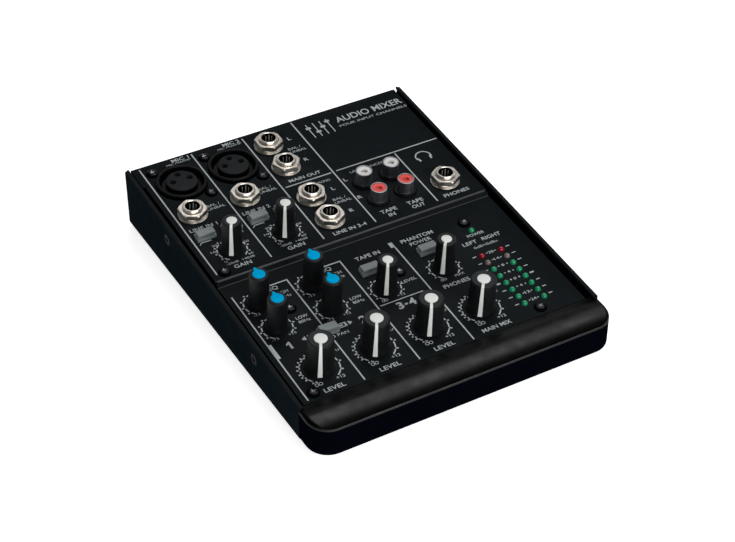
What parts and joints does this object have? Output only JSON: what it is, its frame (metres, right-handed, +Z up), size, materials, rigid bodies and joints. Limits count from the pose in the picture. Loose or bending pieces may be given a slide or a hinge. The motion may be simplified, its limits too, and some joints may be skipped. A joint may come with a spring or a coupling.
{
  "type": "audio mixing console",
  "caption": "Compact desk-top audio mixing console with a sloping stepped deck of sockets, turning knobs, push buttons and level meters, steel side plates and a rounded front bumper.",
  "frame": {"origin": "centre of the bounding box, on the surface that the rubber feet rest on", "axes": "+Z up, +X to the right as the user sees it, -Y towards the user"},
  "size_m": [0.157, 0.2006, 0.0453],
  "materials": {
    "deck_paint": "fine-textured powder coat",
    "bumper_plastic": "fine-textured",
    "board": "satin solder mask",
    "component_plastic": "matt",
    "spacer_steel": "plain",
    "pot_metal": "plain",
    "shaft_metal": "turned",
    "socket_plastic": "moulded",
    "nickel": "satin nickel",
    "contact_metal": "gold plate",
    "dark_chrome": "black nickel",
    "white_plastic": "moulded",
    "red_plastic": "moulded",
    "green_lens": "diffused lens",
    "amber_lens": "diffused lens, unlit",
    "red_lens": "diffused lens",
    "black_screw": "black zinc",
    "knob_plastic": "fine-textured",
    "blue_knob_plastic": "dark shell with a blue cap",
    "grey_button": "satin",
    "foot_rubber": "plain",
    "switch_plastic": "moulded"
  },
  "bodies": {
    "casing": {"top_panel": "deck_paint", "bottom_pan": "deck_paint", "left_side_panel": "deck_paint", "right_side_panel": "deck_paint", "front_bumper": "bumper_plastic", "circuit_boards": "board", "board_components": "component_plastic", "board_spacers": "spacer_steel", "pot_bodies": "pot_metal", "switch_bodies": "component_plastic", "jack_bodies": "socket_plastic", "jack_bushings": "nickel", "jack_washers": "nickel", "jack_nuts": "nickel", "xlr_shells": "socket_plastic", "xlr_inserts": "socket_plastic", "xlr_contacts": "contact_metal", "rca_body": "socket_plastic", "rca_shells": "dark_chrome", "rca_white_inserts": "white_plastic", "rca_red_inserts": "red_plastic", "red_leds": "red_lens", "amber_leds": "amber_lens", "green_leds": "green_lens", "screws": "black_screw", "rubber_feet": "foot_rubber", "power_switch_housing": "switch_plastic", "power_inlet": "switch_plastic"},
    "line_1_button": {"line_1_button": "grey_button"},
    "line_2_button": {"line_2_button": "grey_button"},
    "instrument_1_button": {"instrument_1_button": "grey_button"},
    "instrument_2_button": {"instrument_2_button": "grey_button"},
    "tape_in_button": {"tape_in_button": "grey_button"},
    "phantom_power_button": {"phantom_power_button": "grey_button"},
    "stereo_pan_button": {"stereo_pan_button": "grey_button"},
    "gain_1_knob": {"gain_1_knob": "knob_plastic", "gain_1_shaft": "shaft_metal"},
    "gain_2_knob": {"gain_2_knob": "knob_plastic", "gain_2_shaft": "shaft_metal"},
    "high_eq_1_knob": {"high_eq_1_knob": "blue_knob_plastic", "high_eq_1_shaft": "shaft_metal"},
    "high_eq_2_knob": {"high_eq_2_knob": "blue_knob_plastic", "high_eq_2_shaft": "shaft_metal"},
    "low_eq_1_knob": {"low_eq_1_knob": "blue_knob_plastic", "low_eq_1_shaft": "shaft_metal"},
    "low_eq_2_knob": {"low_eq_2_knob": "blue_knob_plastic", "low_eq_2_shaft": "shaft_metal"},
    "tape_level_knob": {"tape_level_knob": "knob_plastic", "tape_level_shaft": "shaft_metal"},
    "phones_level_knob": {"phones_level_knob": "knob_plastic", "phones_level_shaft": "shaft_metal"},
    "level_1_knob": {"level_1_knob": "knob_plastic", "level_1_shaft": "shaft_metal"},
    "level_2_knob": {"level_2_knob": "knob_plastic", "level_2_shaft": "shaft_metal"},
    "level_3_4_knob": {"level_3_4_knob": "knob_plastic", "level_3_4_shaft": "shaft_metal"},
    "main_mix_knob": {"main_mix_knob": "knob_plastic", "main_mix_shaft": "shaft_metal"},
    "power_rocker": {"power_rocker": "switch_plastic"}
  },
  "joints": [
    {"name": "gain_1_turn", "type": "hinge", "parent": "casing", "child": "gain_1_knob", "pos_m": [-0.057, 0.0233, 0.02677], "axis": [0, 0.0678, -0.9977], "range_deg": [0, 300]},
    {"name": "gain_2_turn", "type": "hinge", "parent": "casing", "child": "gain_2_knob", "pos_m": [-0.0288, 0.0233, 0.02677], "axis": [0, 0.0678, -0.9977], "range_deg": [0, 300]},
    {"name": "high_eq_1_turn", "type": "hinge", "parent": "casing", "child": "high_eq_1_knob", "pos_m": [-0.0618, -0.0135, 0.02217], "axis": [0, 0.0678, -0.9977], "range_deg": [-150, 150]},
    {"name": "high_eq_2_turn", "type": "hinge", "parent": "casing", "child": "high_eq_2_knob", "pos_m": [-0.0336, -0.0135, 0.02217], "axis": [0, 0.0678, -0.9977], "range_deg": [-150, 150]},
    {"name": "low_eq_1_turn", "type": "hinge", "parent": "casing", "child": "low_eq_1_knob", "pos_m": [-0.0618, -0.0316, 0.02094], "axis": [0, 0.0678, -0.9977], "range_deg": [-150, 150]},
    {"name": "low_eq_2_turn", "type": "hinge", "parent": "casing", "child": "low_eq_2_knob", "pos_m": [-0.0336, -0.0316, 0.02094], "axis": [0, 0.0678, -0.9977], "range_deg": [-150, 150]},
    {"name": "tape_level_turn", "type": "hinge", "parent": "casing", "child": "tape_level_knob", "pos_m": [-0.0049, -0.0317, 0.02093], "axis": [0, 0.0678, -0.9977], "range_deg": [0, 300]},
    {"name": "phones_level_turn", "type": "hinge", "parent": "casing", "child": "phones_level_knob", "pos_m": [0.0267, -0.0317, 0.02093], "axis": [0, 0.0678, -0.9977], "range_deg": [0, 300]},
    {"name": "level_1_turn", "type": "hinge", "parent": "casing", "child": "level_1_knob", "pos_m": [-0.057, -0.0631, 0.0188], "axis": [0, 0.0678, -0.9977], "range_deg": [0, 300]},
    {"name": "level_2_turn", "type": "hinge", "parent": "casing", "child": "level_2_knob", "pos_m": [-0.0288, -0.0631, 0.0188], "axis": [0, 0.0678, -0.9977], "range_deg": [0, 300]},
    {"name": "level_3_4_turn", "type": "hinge", "parent": "casing", "child": "level_3_4_knob", "pos_m": [-0.0006, -0.0631, 0.0188], "axis": [0, 0.0678, -0.9977], "range_deg": [0, 300]},
    {"name": "main_mix_turn", "type": "hinge", "parent": "casing", "child": "main_mix_knob", "pos_m": [0.0273, -0.0631, 0.0188], "axis": [0, 0.0678, -0.9977], "range_deg": [0, 300]},
    {"name": "line_1_button_press", "type": "slide", "parent": "casing", "child": "line_1_button", "axis": [0, 0.0678, -0.9977], "range_m": [0, 0.002], "stiffness_N_per_m": 500},
    {"name": "line_2_button_press", "type": "slide", "parent": "casing", "child": "line_2_button", "axis": [0, 0.0678, -0.9977], "range_m": [0, 0.002], "stiffness_N_per_m": 500},
    {"name": "instrument_1_button_press", "type": "slide", "parent": "casing", "child": "instrument_1_button", "axis": [0, 0.0678, -0.9977], "range_m": [0, 0.002], "stiffness_N_per_m": 500},
    {"name": "instrument_2_button_press", "type": "slide", "parent": "casing", "child": "instrument_2_button", "axis": [0, 0.0678, -0.9977], "range_m": [0, 0.002], "stiffness_N_per_m": 500},
    {"name": "tape_in_button_press", "type": "slide", "parent": "casing", "child": "tape_in_button", "axis": [0, 0.0678, -0.9977], "range_m": [0, 0.002], "stiffness_N_per_m": 500},
    {"name": "phantom_power_button_press", "type": "slide", "parent": "casing", "child": "phantom_power_button", "axis": [0, 0.0678, -0.9977], "range_m": [0, 0.002], "stiffness_N_per_m": 500},
    {"name": "stereo_pan_button_press", "type": "slide", "parent": "casing", "child": "stereo_pan_button", "axis": [0, 0.0678, -0.9977], "range_m": [0, 0.002], "stiffness_N_per_m": 500},
    {"name": "power_rocker_tilt", "type": "hinge", "parent": "casing", "child": "power_rocker", "pos_m": [0.052, 0.0955, 0.017], "axis": [1, 0, 0], "range_deg": [0, 18]}
  ]
}
